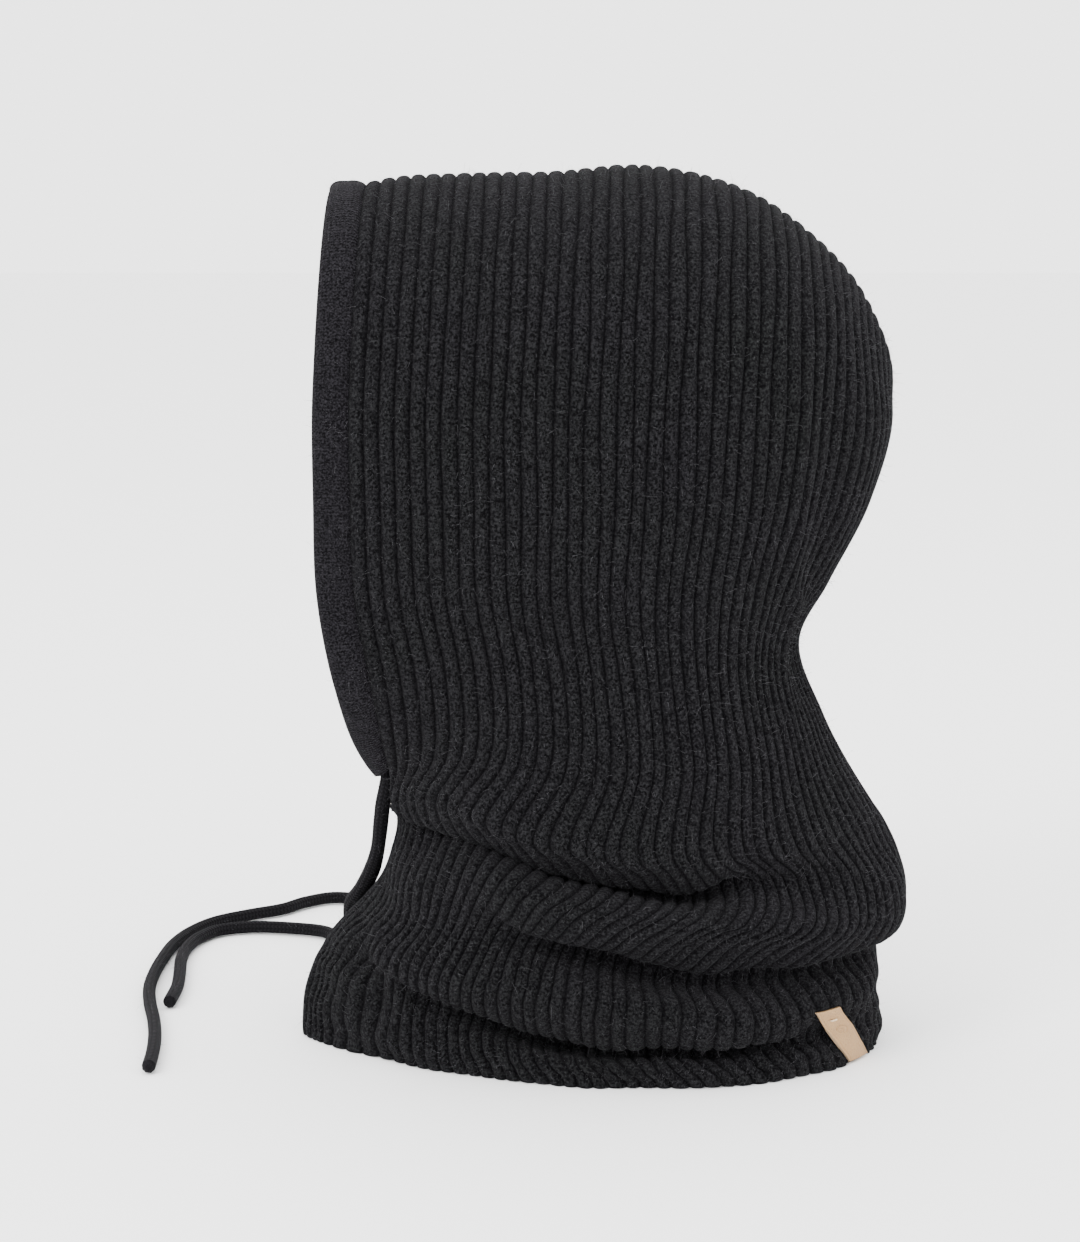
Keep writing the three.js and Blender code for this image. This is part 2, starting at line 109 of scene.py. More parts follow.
SEAM_S = RIBS_UNDER_CHIN / RIBS_PER_SIDE
EDGE_S = (RIBS_UNDER_CHIN - CASING_WIDTH / RIB_PITCH) / RIBS_PER_SIDE

# Courses of the knit from the hem up: front and back ends, half the width, where it is widest, how
# far the face edge stands off the middle, how pinched the front is, how the ribs gather at the front
# and back, then heights and pushes at the front, front side, side, back side and back.
COURSES = (
    (-126.5, 116.5, 73.5, 22, 0, 1.6, (1, 1), (0, 0, 0, 0, 0), (0, 0, 0, 0, 0)),
    (-126.5, 116.5, 74, 22, 0, 1.5, (1, 1), (12, 9, 7, 7, 9), (0, 0, 0, 0, 0)),
    (-123, 115, 73, 20, 0, 1.3, (1, 1), (28, 24, 14, 13, 18), (0, -5, -9, -4, 0)),
    (-116, 115.5, 78, 18, 0, 1.25, (1, 1), (42, 44, 34, 26, 27), (0, 3, 3, 1, 0)),
    (-98, 115, 75, 16, 0, 1.05, (1, 1), (60, 62, 52, 44, 39), (0, 2, -12, -10, 0)),
    (-89, 126.5, 79, 14, 0, 1, (1.05, 1), (78, 84, 72, 62, 61), (0, 4, 5, 2, 0)),
    (-86, 123, 73, 10, 0, 1, (1.15, 1), (98, 100, 86, 80, 80), (0, -8, -13, -8, 0)),
    (-88, 112, 73, 8, 0, 1, (1.3, 1.05), (106, 110, 95, 91, 99), (0, 2, 4, 0, 0)),
    (-97, 90, 65, 4, 20, 1, (1, 1.12), (118, 130, 128, 130, 138), (0, 0, 0, 0, 0)),
    (-108, 79.6, 62, 0, 50, 1, (1, 1.24), (155, 165, 166, 167, 170), (0, 0, 0, 0, 0)),
    (-114.3, 91.5, 67, 0, 58, 1, (1, 1.15), (196, 197, 196, 195, 194), (0, 0, 0, 0, 0)),
    (-115, 109, 74, 5, 61, 1, (1, 1.05), (235, 234, 233, 231, 229), (0, 0, 0, 0, 0)),
    (-114.8, 117, 78, 10, 62, 1, (1, 1), (272, 269, 267, 266, 264), (0, 0, 0, 0, 0)),
)
CHIN_LEVEL = 7
TEMPLE_LEVEL = len(COURSES) - 1
RIDGE_LEVEL = TEMPLE_LEVEL + CROWN_STEPS

# The crown seam in side view, from the forehead to the back of the head.
RIDGE = (
    (-111, 352.4), (-88, 356.4), (-30, 359.5), (10, 361.8), (44, 356.8),
    (77, 340.6), (100, 316.5), (113, 292), (116.6, 275),
)

# Free ends of the drawcord, from the casing's mouths to their cut ends.
LEFT_TAIL = (
    (19.8, -89.9, 117.8), (17.8, -89.2, 115.4), (15.9, -90, 110), (13.5, -91.6, 102.5),
    (10, -92.6, 95), (2, -94.4, 80.5), (-6.5, -98, 69), (-15, -102.5, 59), (-24.5, -107.6, 49.5),
    (-33, -108, 35), (-41, -107, 20), (-53, -106.5, 7.5), (-68, -107, 3), (-100, -111, 3),
    (-128, -118, 3), (-144, -128, 3), (-150, -144, 3), (-152, -163, 3), (-146, -178.5, 3),
    (-133, -186, 3), (-117, -189.5, 3), (-100, -190, 3), (-80, -188.3, 3), (-56, -186.6, 3),
    (-32, -187.3, 3),
)
RIGHT_TAIL = (
    (-19.8, -89.9, 117.8), (-17.8, -89.2, 115.4), (-17, -90.2, 109.5), (-18.2, -92.2, 98),
    (-20.6, -94.2, 82), (-24, -97, 66), (-31.5, -102.2, 52), (-41, -102, 36), (-53, -100, 19),
    (-67, -97.5, 7.5), (-84, -97, 3), (-115, -99, 3), (-150, -101.5, 3), (-182, -105, 3),
    (-201, -114, 3), (-205, -128, 3), (-197, -140.5, 3), (-184, -151, 3), (-174, -165.5, 3),
    (-161, -181, 3), (-141, -191.5, 3), (-121, -196.5, 3), (-100, -198.5, 3), (-78, -199.3, 3),
    (-54, -198.6, 3), (-30, -195.2, 3), (-9, -191, 3), (18, -187, 3), (37, -185.4, 3),
    (56, -184.7, 3),
)


# ---- settings a user would change ----


def length_setting(name, description, default):
    """A length property, in metres."""
    return bpy.props.FloatProperty(
        name=name, description=description, default=default, min=0, precision=5, unit="LENGTH"
    )


def colour_setting(name, description, default):
    """A colour property, linear red, green and blue."""
    return bpy.props.FloatVectorProperty(
        name=name, description=description, default=default, size=3, min=0, max=1, subtype="COLOR"
    )


class HoodKnitSettings(bpy.types.PropertyGroup):
    """Sizes of the knit's relief."""

    rib_relief: length_setting("Rib relief", "Depth of the valley between two ribs", 0.0015)
    rib_fabric: length_setting("Fabric thickness", "Thickness of the rib fabric itself", 0.0013)
    stitch_pitch: length_setting("Stitch pitch", "Height of one stitch along a rib", 0.0024)
    casing_pitch: length_setting("Casing stitch", "Height of one row on the face casing", 0.0014)
    fibre_length: length_setting("Fibre length", "Longest loose fibre on the surface", 0.005)
    fibre_count: bpy.props.IntProperty(
        name="Fibres", description="Number of loose fibres on the outside", default=15000, min=0
    )


class HoodColourSettings(bpy.types.PropertyGroup):
    """Colours of the yarns, the leather and the stage."""

    # yarn_dark is the wool's own dark tone and also the painted shade that the rib, casing and cord
    # finishes blend to in the valleys between ribs and columns; yarn_light is the lighter tone of the
    # wool.
    yarn_dark: colour_setting("Yarn, dark", "Wool in the hollows", (0.0009, 0.0008, 0.0011))
    yarn_light: colour_setting("Yarn, light", "Wool on the rounds", (0.0175, 0.0164, 0.0192))
    yarn_tint: colour_setting("Yarn, tint", "Faint second shade in the wool", (0.0150, 0.0164, 0.0158))
    cord: colour_setting("Cord", "Drawcord yarn", (0.0105, 0.01, 0.0115))
    leather: colour_setting("Leather", "Metallic leather's foil", (0.33, 0.19, 0.085))
    leather_edge: colour_setting("Leather edge", "Cut edge of the leather", (0.30, 0.21, 0.13))
    thread: colour_setting("Thread", "Tack stitch on the tab", (0.42, 0.31, 0.2))
    label: colour_setting("Label", "Blank woven label", (0.012, 0.012, 0.0135))
    floor: colour_setting("Floor", "Pale studio floor", (0.93, 0.93, 0.93))


# ---- materials ----


class Wire:
    """One socket of a finish's nodes, on which arithmetic adds Math nodes."""

    def __init__(self, finish, socket):
        self.finish = finish
        self.socket = socket

    def maths(self, operation, *values):
        """A Math node on this value and others."""
        inputs = {i: value for i, value in enumerate((self, *values))}
        return self.finish.node("ShaderNodeMath", {"operation": operation}, inputs)

    def __add__(self, other):
        return self.maths("ADD", other)

    def __radd__(self, other):
        return self.maths("ADD", other)

    def __sub__(self, other):
        return self.maths("SUBTRACT", other)

    def __rsub__(self, other):
        return self.finish.node("ShaderNodeMath", {"operation": "SUBTRACT"}, {0: other, 1: self})

    def __mul__(self, other):
        return self.maths("MULTIPLY", other)

    def __rmul__(self, other):
        return self.maths("MULTIPLY", other)

    def __truediv__(self, other):
        return self.maths("DIVIDE", other)

    def __pow__(self, other):
        return self.maths("POWER", other)

    def __abs__(self):
        return self.maths("ABSOLUTE")


class Finish:
    """A material whose nodes are added one by one."""

    def __init__(self, name):
        self.material = bpy.data.materials.new(name)
        self.material.use_nodes = True
        self.tree = self.material.node_tree
        self.tree.nodes.clear()

    def node(self, kind, settings=None, inputs=None, output=0):
        """Adds a node, sets it, joins or fills its sockets, and returns one of its outputs."""
        made = self.tree.nodes.new(kind)
        for name, value in (settings or {}).items():
            setattr(made, name, value)
        for name, value in (inputs or {}).items():
            if isinstance(value, Wire):
                self.tree.links.new(value.socket, made.inputs[name])
            else:
                made.inputs[name].default_value = value
        return Wire(self, made.outputs[output]) if made.outputs else None

    def noise(self, vector, scale, detail=2.0, roughness=0.5):
        """Soft noise from 0 to 1."""
        return self.node(
            "ShaderNodeTexNoise",
            None,
            {"Vector": vector, "Scale": scale, "Detail": detail, "Roughness": roughness},
        )

    def mix(self, share, first, second):
        """A colour between two, by a share."""
        inputs = {0: share, 6: first, 7: second}
        return self.node("ShaderNodeMix", {"data_type": "RGBA"}, inputs, output=2)

    def object_place(self):
        """Object coordinates, in metres."""
        return self.node("ShaderNodeTexCoord", output="Object")

    def surface_place(self, layer):
        """The piece's own UV map as its two values."""
        uv = self.node("ShaderNodeUVMap", {"uv_map": layer})
        split = self.node("ShaderNodeSeparateXYZ", None, {0: uv})
        other = Wire(self, split.socket.node.outputs[1])
        return split, other

    def bump(self, height, distance):
        """A normal from a height of 0 to 1 and its depth in metres."""
        inputs = {"Height": height, "Distance": distance, "Strength": 1.0}
        return self.node("ShaderNodeBump", None, inputs)

    def shade(self, **sockets):
        """Ends the finish in a Principled shader."""
        inputs = {
            name.replace("_", " ").title().replace("Ior", "IOR"): value
            for name, value in sockets.items()
        }
        surface = self.node("ShaderNodeBsdfPrincipled", None, inputs)
        self.node("ShaderNodeOutputMaterial", None, {"Surface": surface})
        return self.material


def opaque(colour):
    """A colour with full alpha, for a socket."""
    return (*colour, 1.0)


# How yarn takes the light: hardly any gloss and a faint cool sheen.
WOOL_SHEEN = {
    "specular_ior_level": 0.03,
    "sheen_weight": 0.025,
    "sheen_roughness": 0.35,
    "sheen_tint": (0.62, 0.6, 0.66, 1.0),
}


def wave(value):
    """A value's fine wave from 0 to 1, one for each whole number."""
    return (value * (2 * math.pi)).maths("SINE") * 0.5 + 0.5


def rib_knit_finish(colours, knit):
    """Charcoal brushed rib: V-shaped stitches on each rib, with painted shade darkening the valleys
    between them.
    """
    finish = Finish("charcoal_rib_knit")
    place = finish.object_place()
    across, along = finish.surface_place("wale")
    wander = finish.noise(place, 260, 2)
    ragged = finish.noise(place, 620, 3)
    off_middle = abs((across + ragged * 0.3 - 0.15).maths("FRACT") - 0.5) * 2
    # hollow masks the valleys between ribs: the colour goes dark there as painted shade, and the bump
    # uses the same mask.
    hollow = off_middle ** 3.4 * 0.92
    stitch = wave(along / (knit.stitch_pitch / MM) + off_middle * 0.4 + wander * 1.3)
    fibres = finish.noise(place, 1000, 3, 0.8)
    fluff = finish.noise(place, 430, 3, 0.65)
    mottle = finish.noise(place, 24, 2)
    grain = (fibres - 0.5) * 6.5 + 0.4
    # Painted shade: (1 - hollow) pulls the valleys to yarn_dark, and the stitch wave adds a faint
    # painted lightening on each stitch; the grain and fluff are the wool's own uneven tone.
    light = (stitch * 0.1 + grain.maths("MAXIMUM", 0.0) * 0.8 + (fluff - 0.5) * 0.8) * (1 - hollow)
    tinted = finish.mix(mottle, opaque(colours.yarn_light), opaque(colours.yarn_tint))
    colour = finish.mix(light.maths("MAXIMUM", 0.0), opaque(colours.yarn_dark), tinted)
    height = stitch * (1 - hollow) * 0.12 + fibres * 1.0 + fluff * 0.8
    return finish.shade(
        base_color=colour,
        roughness=0.95,
        normal=finish.bump(height, 0.0014),
        **WOOL_SHEEN,
    )


def plain_knit_finish(colours, knit):
    """Fine plain knit of the face casing, its rows lying across the band."""
    finish = Finish("charcoal_plain_knit")
    place = finish.object_place()
    across, along = finish.surface_place("wale")
    wander = finish.noise(place, 300, 2)
    column = abs((across / 1.7).maths("FRACT") - 0.5) * 2
    row = wave(along / (knit.casing_pitch / MM) + column * 0.3 + wander * 0.3)
    fibres = finish.noise(place, 1300, 4, 0.75)
    fluff = finish.noise(place, 480, 3, 0.6)
    # Painted shade: the colour darkens towards each column's edge (1 - column) and between rows (the row
    # wave); the fibres and fluff are the wool's own uneven tone.
    light = row * 0.16 + (fibres - 0.5) * 5.0 + (fluff - 0.5) * 0.7 + (1 - column) * 0.08 + 0.26
    lit = light.maths("MAXIMUM", 0.0)
    colour = finish.mix(lit, opaque(colours.yarn_dark), opaque(colours.yarn_light))
    height = row * 0.5 + (1 - column) * 0.25 + fibres * 0.7 + fluff * 0.5
    sheen = {**WOOL_SHEEN, "sheen_roughness": 0.38, "sheen_tint": (0.6, 0.58, 0.64, 1.0)}
    return finish.shade(
        base_color=colour, roughness=0.93, normal=finish.bump(height, 0.0009), **sheen
    )


def cord_finish(colours):
    """Tubular knitted cord: small stitches in columns round it."""
    finish = Finish("charcoal_knitted_cord")
    place = finish.object_place()
    across, along = finish.surface_place("wale")
    off_middle = abs((across * CORD_COLUMNS).maths("FRACT") - 0.5) * 2
    stitch = wave(along / CORD_STITCH + off_middle * 0.5)
    fibres = finish.noise(place, 2600, 3, 0.6)
    # Painted shade: the colour darkens in the grooves between columns (off_middle ** 4), and the stitch
    # wave paints each stitch lighter on its round; the fibres are the yarn's own uneven tone.
    light = (stitch * 0.5 + fibres * 0.5) * (1 - off_middle ** 4 * 0.7)
    colour = finish.mix(light, opaque(colours.yarn_dark), opaque(colours.cord))
    height = stitch * (1 - off_middle ** 3) * 0.6 + fibres * 0.35
    sheen = {**WOOL_SHEEN, "specular_ior_level": 0.06, "sheen_weight": 0.03}
    return finish.shade(
        base_color=colour, roughness=0.92, normal=finish.bump(height, 0.0004), **sheen
    )


def fibre_finish(colours):
    """Single wool fibres that stand off the knit."""
    finish = Finish("loose_wool_fibre")
    shade = finish.noise(finish.object_place(), 90, 1)
    colour = finish.mix(shade, opaque(colours.yarn_light), (0.10, 0.097, 0.106, 1.0))
    return finish.shade(base_color=colour, roughness=0.75, specular_ior_level=0.3)


def leather_finish(colours):
    """Champagne gold foil on grained leather, worn at its edges."""
    finish = Finish("champagne_metallic_leather")
    place = finish.object_place()
    grain = finish.node(
        "ShaderNodeTexVoronoi", {"feature": "DISTANCE_TO_EDGE"}, {"Vector": place, "Scale": 1500.0}
    )
    creases = finish.noise(place, 900, 4, 0.6)
    cloud = finish.noise(place, 160, 2)
    _, edge = finish.surface_place("wale")
    cell = (grain * 6).maths("MINIMUM", 1.0)
    foil = finish.mix(cloud * 0.5 + creases * 0.4, opaque(colours.leather), (0.5, 0.32, 0.16, 1.0))
    worn = finish.mix(cell * 0.6 + 0.4, (0.2, 0.12, 0.06, 1.0), foil)
    colour = finish.mix(edge, worn, opaque(colours.leather_edge))
    return finish.shade(
        base_color=colour,
        metallic=(1 - edge) * 0.8,
        roughness=creases * 0.22 + 0.3 + edge * 0.35,
        specular_ior_level=0.5,
        normal=finish.bump(cell * 0.6 + creases * 0.5, 0.00018),
    )


def thread_finish(colours):
    """Waxed sewing thread."""
    finish = Finish("waxed_thread")
    place = finish.object_place()
    fibres = finish.noise(place, 3000, 2)
    colour = finish.mix(fibres, opaque(colours.thread), (0.62, 0.5, 0.36, 1.0))
    return finish.shade(
        base_color=colour, roughness=0.6, specular_ior_level=0.35, normal=finish.bump(fibres, 0.0001)
    )


def label_finish(colours):
    """Blank woven satin tape."""
    finish = Finish("woven_label_tape")
    place = finish.object_place()
    split = finish.node("ShaderNodeSeparateXYZ", None, {0: place})
    height = Wire(finish, split.socket.node.outputs[2])
    picks = wave(height / 0.0007)
    fibres = finish.noise(place, 1800, 2)
    colour = finish.mix(picks * 0.5 + fibres * 0.3, opaque(colours.label), (0.03, 0.03, 0.033, 1.0))
    return finish.shade(
        base_color=colour, roughness=0.5, specular_ior_level=0.4, normal=finish.bump(picks, 0.00012)
    )


def floor_finish(colours):
    """Matt pale floor."""
    finish = Finish("pale_floor")
    return finish.shade(base_color=opaque(colours.floor), roughness=0.8, specular_ior_level=0.2)


# ---- the knit's surface ----


def spread(readings, s):
    """A smooth value at s through readings spread evenly from the centre front to the centre back."""
    values = np.asarray(readings, float)
    last = len(values) - 1
    k = np.minimum(last - 1, np.floor(s * last)).astype(int)
    t = s * last - k
    slope = np.zeros(last + 1)
    slope[1:-1] = (values[2:] - values[:-2]) / 2
    eased = t * t * (3 - 2 * t)
    return (
        values[k] * (1 - eased)
        + values[k + 1] * eased
        + slope[k] * t * (1 - t) ** 2
        - slope[k + 1] * t * t * (1 - t)
    )


def unit(vectors):
    """Vectors at length 1."""
    return vectors / np.linalg.norm(vectors, axis=-1, keepdims=True)


def along_line(places, known, points):
    """Points at places on a line of points that lie at known places."""
    return np.column_stack([np.interp(places, known, points[:, axis]) for axis in range(3)])


def mirrored(rows):
    """Rows from the left to the middle, followed by their mirror image to the right."""
    return np.concatenate((rows, rows[-2::-1] * (-1, 1, 1)))


def running_length(points):
    """Distance along a line of points, from its start."""
    steps = np.linalg.norm(np.diff(points, axis=0), axis=1)
    return np.concatenate(([0.0], np.cumsum(steps)))


def plan_outline(course):
    """A course's outline in plan from its front end to the centre back, and its outward direction."""
    front, back, half, widest, edge, pinch = course[:6]
    start = -math.acos(edge / half)
    reach = (widest - front) / math.sin(-start)
    angle = np.linspace(start, math.pi / 2, 601)
    narrow = np.where(angle < 0, pinch, 1.0)
    run = np.where(angle < 0, reach, back - widest)
    x = half * np.maximum(0, np.cos(angle)) ** narrow
    y = widest + run * np.sin(angle)
    points = np.column_stack((x, y))
    ahead = np.gradient(points, axis=0)
    outward = np.column_stack((ahead[:, 1], -ahead[:, 0]))
    return points, unit(outward), running_length(points)


def follow(controls, places):
    """Points on smooth curves through controls, at places counted in controls.

    controls is (curves, points, 3); the answer is (curves, places, 3)."""
    first = 2 * controls[:, :1] - controls[:, 1:2]
    last = 2 * controls[:, -1:] - controls[:, -2:-1]
    padded = np.concatenate((first, controls, last), axis=1)
    k = np.minimum(np.floor(places).astype(int), controls.shape[1] - 2)
    t = (places - k)[None, :, None]
    p0, p1, p2, p3 = (padded[:, k + i] for i in range(4))
    d0, d1, d2 = (
        np.maximum(np.linalg.norm(b - a, axis=2, keepdims=True), 1e-9)
        for a, b in ((p0, p1), (p1, p2), (p2, p3))
    )
    m1 = ((p1 - p0) / d0 - (p2 - p0) / (d0 + d1) + (p2 - p1) / d1) * d1
    m2 = ((p2 - p1) / d1 - (p3 - p1) / (d1 + d2) + (p3 - p2) / d2) * d1
    return (
        p1
        + m1 * t
        + (3 * (p2 - p1) - 2 * m1 - m2) * t**2
        + (2 * (p1 - p2) + m1 + m2) * t**3
    )


class KnitSurface:
    """The knit's outer face, as a fine net of points over s (front to back) and level (hem up)."""

    def __init__(self):
        self.outlines = [plan_outline(course) for course in COURSES]
        ridge = np.array([(0.0, y, z) for y, z in RIDGE])[None]
        self.ridge = follow(ridge, np.linspace(0, len(RIDGE) - 1, 400))[0]
        self.ridge_run = running_length(self.ridge)
        self.hem_run = self.outlines[0][2][-1]

    def controls(self, s, with_face):
        """Control points of the ribs at s; with_face says whether they run on past the chin."""
        courses = COURSES if with_face else COURSES[: CHIN_LEVEL + 1]
        lines = []
        for course, (points, outward, run) in zip(courses, self.outlines):
            gather, heights, pushes = course[6:]
            start = EDGE_S if course[4] > 0 else 0.0
            plain = np.clip((s - start) / (1 - start), 0, 1)
            share = (1 - (1 - plain ** gather[0]) ** gather[1]) * run[-1]
            push = spread(pushes, s)
            x, y = (
                np.interp(share, run, points[:, axis])
                + np.interp(share, run, outward[:, axis]) * push
                for axis in range(2)
            )
            x = np.where((s <= 0) | (s >= 1), 0.0, x)
            lines.append(np.column_stack((x, y, spread(heights, s))))
        if with_face:
            share = np.clip((s - EDGE_S) / (1 - EDGE_S), 0, 1) * self.ridge_run[-1]
            top = along_line(share, self.ridge_run, self.ridge)
            temple = lines[-1]
            for step in range(1, 2 * CROWN_STEPS):
                angle = math.pi / 2 * step / CROWN_STEPS
                risen = temple + (top - temple) * math.sin(angle)
                risen[:, 0] = temple[:, 0] * math.cos(angle)
                lines.append(risen)
        return np.stack(lines, axis=1)

    def net(self, s, levels):
        """Points (s, level, 3) in millimetres on the wearer's left."""
        levels = np.asarray(levels, float)
        s = np.asarray(s, float)
        high = follow(self.controls(np.maximum(s, EDGE_S), True), levels)
        if levels.max() > CHIN_LEVEL or s.min() >= EDGE_S:
            return high
        low = follow(self.controls(s, False), levels)
        return np.where((s < EDGE_S)[:, None, None], low, high)

    def point(self, s, level):
        """One point of the outer face."""
        return self.net([s], [level])[0, 0]

    def normal(self, s, level):
        """The outward direction there."""
        around = self.net([max(0, s - 0.004), min(1, s + 0.004)], [level])[:, 0]
        upward = self.net([s], [max(0, level - 0.04), level + 0.04])[0]
        out = np.cross(around[1] - around[0], upward[1] - upward[0])
        return unit(out)


def normals_of(points):
    """Outward directions of a net of points (s, level, 3)."""
    out = np.cross(np.gradient(points, axis=0), np.gradient(points, axis=1))
    return out / np.maximum(np.linalg.norm(out, axis=2, keepdims=True), 1e-12)


def bell(value, centre, width):
    """A smooth bump of height 1."""
    return np.exp(-(((value - centre) / width) ** 2))


def eased(value, places, readings):
    """A smooth value between readings at places."""
    places = np.asarray(places, float)
    readings = np.asarray(readings, float)
    k = np.clip(np.searchsorted(places, value, side="right") - 1, 0, len(places) - 2)
    share = np.clip((value - places[k]) / (places[k + 1] - places[k]), 0, 1)
    share = share * share * (3 - 2 * share)
    return readings[k] * (1 - share) + readings[k + 1] * share


# How far the ribs of the side lie back of straight, at levels from the hem to the jaw.
DRIFT_LEVELS = (0, 2, 3, 3.8, 6.1, 9.6)
DRIFT = (-0.025, -0.058, -0.07, -0.085, 0.07, 0)

# The collar's folds: where each hollow runs, level by s, and how deep it is.
FOLDS = (
    (
        (0.05, 0.12, 0.2, 0.38, 0.58, 0.72),
        (6.9, 6.6, 6.1, 5.92, 5.82, 6.2),
        (0.9, 1.35, 1.2, 1.1, 1.35, 0),
    ),
    (
        (0.27, 0.35, 0.45, 0.6, 0.72, 0.97),
        (4.3, 4.0, 3.95, 3.75, 3.85, 4.15),
        (0, 0.8, 1.1, 1.1, 0.8, 0.5),
    ),
    (
        (0.14, 0.24, 0.4, 0.6, 0.72, 0.82),
        (2.7, 2.25, 1.95, 2.05, 2.25, 2.6),
        (0.3, 0.8, 1, 1, 0.7, 0),
    ),
)
FOLD_DEPTH = 6.0
FOLD_LIP = 2.6
FOLD_DROOP = 4.5


def wale_drift(s, level):
    """How far the ribs wander front (-) or back (+) from straight, as a share of the half round."""
    side = np.sin(np.pi * np.clip((s - SEAM_S) / (1 - SEAM_S), 0, 1)) ** 1.6
    front = -0.03 * bell(s, 0.1, 0.055) * np.clip((4 - level) / 2.5, 0, 1)
    uneven = np.sin(s * 143 + level * 1.1) * 0.0012 + np.sin(s * 61 - level * 1.9) * 0.0013
    return side * (eased(level, DRIFT_LEVELS, DRIFT) + uneven) + front


def collar_folds(s, level):
    """The folds' own shape at a level: outwards and downwards, in millimetres."""
    out = np.zeros_like(s)
    down = np.zeros_like(s)
    for places, levels, depths in FOLDS:
        above = level - eased(s, places, levels)
        depth = eased(s, places, depths)
        out += depth * (FOLD_LIP * bell(above, 0.55, 0.3) - FOLD_DEPTH * bell(above, -0.02, 0.26))
        down += depth * FOLD_DROOP * bell(above, 0.42, 0.28)
    return out, down


def front_flap(s, level):
    """The crease that sets the flap under the chin off from the side, outwards in millimetres."""
    crease = eased(level, (0, 2, 3.35, 4.1), (0.17, 0.17, 0.12, 0.03))
    beside = (s - crease) * 305
    here = np.clip((3.9 - level) / 0.9, 0, 1) * eased(level, (0.1, 2.4), (0, 1))
    return here * (2.2 * bell(beside, 9, 9) - 3.8 * bell(beside, -4, 9))


def nape_crease(s, level):
    """A soft crease from the back of the head down to the nape, outwards in millimetres."""
    crease = eased(level, (8.4, 9.5, 10.4, 11.1, 12.2, 13.5), (0.835, 0.83, 0.772, 0.745, 0.736, 0.72))
    here = np.clip((level - 8.2) / 0.8, 0, 1) * np.clip((13.4 - level) / 1.4, 0, 1)
    return here * (1.3 * bell(s, crease, 0.018) - 2.2 * bell(s, crease + 0.055, 0.035))


def soft_wrinkles(s, level):
    """Low swells of the slack knit, outwards in millimetres."""
    collar = np.clip((8.2 - level) / 1.5, 0, 1)
    swell = np.sin(s * 31 + level * 2.1) * 0.7 + np.sin(s * 53 - level * 3.3 + 1.7) * 0.4
    swell += np.sin(s * 17 + level * 5.1 + 0.6) * 0.5
    hood = np.sin(s * 19 + level * 0.9) * 0.5 + np.sin(s * 37 - level * 0.7 + 2) * 0.25
    return swell * collar + hood * (1 - collar)


def tab_cover(s, level, reach=0.0):
    """1 where the leather tab lies on the knit and 0 elsewhere; reach widens its soft edge."""
    run = level / TAB_TOP_LEVEL
    middle = TAB_FOOT + TAB_SLANT * run
    beside = np.clip((0.03 + reach - np.abs(s - middle)) / (0.006 + reach), 0, 1)
    below = np.clip((1.03 + reach * 8 - run) / (0.05 + reach * 8), 0, 1)
    return beside * below


def over_the_crown(start, rows, crown_rows):
    """Levels from start to the temples and on, over the crown, to the ridge."""
    below = np.linspace(start, TEMPLE_LEVEL, rows)
    return np.concatenate((below, np.linspace(TEMPLE_LEVEL, RIDGE_LEVEL, crown_rows)[1:]))


def rib_sheet_points(surface, side, s_from, levels, columns_per_rib, relief):
    """Points and wale coordinates of one half of the knit, ribs and all."""
    ribs = int(round((1 - s_from) * RIBS_PER_SIDE))
    s = np.linspace(s_from, 1, ribs * columns_per_rib + 1)
    dense = np.linspace(s_from, 1, 1601)
    base = surface.net(dense, levels)
    wider = np.concatenate(([levels[0] - 0.06], levels, [levels[-1] + 0.06]))
    wider = np.clip(wider, 0, RIDGE_LEVEL)
    joined = dense[:, None, None] > SEAM_S + 0.02
    outward = np.where(joined, normals_of(surface.net(dense, wider))[:, 1:-1], normals_of(base))
    outward[-1, :, 0] = 0
    if s_from == 0:
        outward[0, :, 0] = 0
    outward = unit(outward)
    step = np.linalg.norm(np.diff(base, axis=1), axis=2)
    risen = np.concatenate((np.zeros((len(dense), 1)), np.cumsum(step, axis=1)), axis=1)
    fraction = np.abs(((s * RIBS_PER_SIDE) % 1.0) - 0.5) * 2
    rounded = (1 - fraction**3) * relief / MM
    points = np.empty((len(s), len(levels), 3))
    wale = np.empty((len(s), len(levels), 2))
    fade = np.clip((1 - s) / 0.02, 0, 1) * np.clip((s - s_from) / 0.02, 0, 1)
    for j, level in enumerate(levels):
        at = np.clip(s + wale_drift(s, level), s_from, 1)
        place = along_line(at, dense, base[:, j])
        out = along_line(at, dense, outward[:, j])
        cover = tab_cover(at, level) if side > 0 else 0.0
        fold, droop = collar_folds(at, level)
        clear = 1 - (tab_cover(at, level, 0.03) if side > 0 else 0.0)
        slack = soft_wrinkles(at, level) + fold + front_flap(at, level) + nape_crease(at, level)
        proud = (rounded - relief / MM * 0.72) * (1 - cover) - 0.75 * cover + slack * fade * clear
        place += out * proud[:, None]
        place[:, 2] -= droop * fade * clear
        points[:, j] = place
        wale[:, j, 0] = s * RIBS_PER_SIDE
        wale[:, j, 1] = np.interp(at, dense, risen[:, j])
    points[:, :, 2] = np.maximum(points[:, :, 2], 0.05)
    points[:, :, 0] = np.maximum(points[:, :, 0], 0.0) * side
    return points * MM, wale


# ---- mesh helpers ----


def finish_piece(obj, material, slot, *nodes):
    """Gives a piece its material and its body, and hides the solids that it stands for; slot is not
    used.
    """
    obj.data.materials.clear()
    obj.data.materials.append(material)
    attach(obj, BODY)
    if nodes:
        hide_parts(*nodes)
    return obj


def link_mesh(name, bm):
    """An object from a bmesh, shaded smooth."""
    mesh = bpy.data.meshes.new(name)
    bm.to_mesh(mesh)
    bm.free()
    mesh.polygons.foreach_set("use_smooth", [True] * len(mesh.polygons))
    obj = bpy.data.objects.new(name, mesh)
    bpy.context.scene.collection.objects.link(obj)
    return obj


